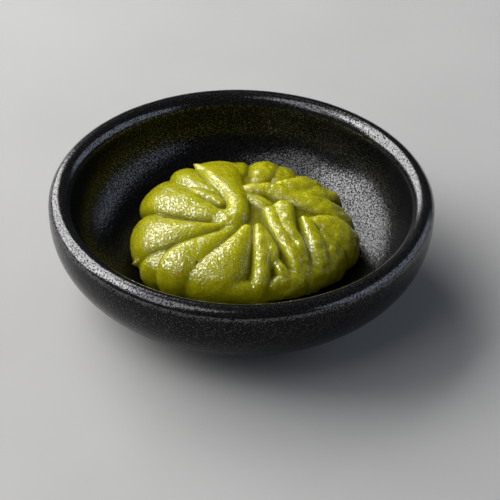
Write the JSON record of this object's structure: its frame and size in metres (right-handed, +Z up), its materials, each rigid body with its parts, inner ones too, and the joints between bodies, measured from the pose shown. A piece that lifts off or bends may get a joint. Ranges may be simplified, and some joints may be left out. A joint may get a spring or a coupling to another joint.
{
  "type": "dish of wasabi paste",
  "caption": "Portion of pleated green wasabi paste, its folds twisted in to a hub, in a small round dark stoneware sauce dish with a rounded rim and a foot ring.",
  "frame": {"origin": "on the dish's axis, in the plane that its foot ring rests on", "axes": "+Z up along the dish's axis, +X to the right and +Y away from the viewer, with the paste's hub towards -X and the long back pleat towards +Y"},
  "size_m": [0.08, 0.08, 0.0225],
  "materials": {
    "glaze": "near-black satin stoneware glaze with a fine grain",
    "paste": "moist yellow-green horseradish paste, fine grained, slightly translucent"
  },
  "bodies": {
    "root": {"dish": "glaze", "wasabi_paste": "paste"}
  },
  "joints": []
}
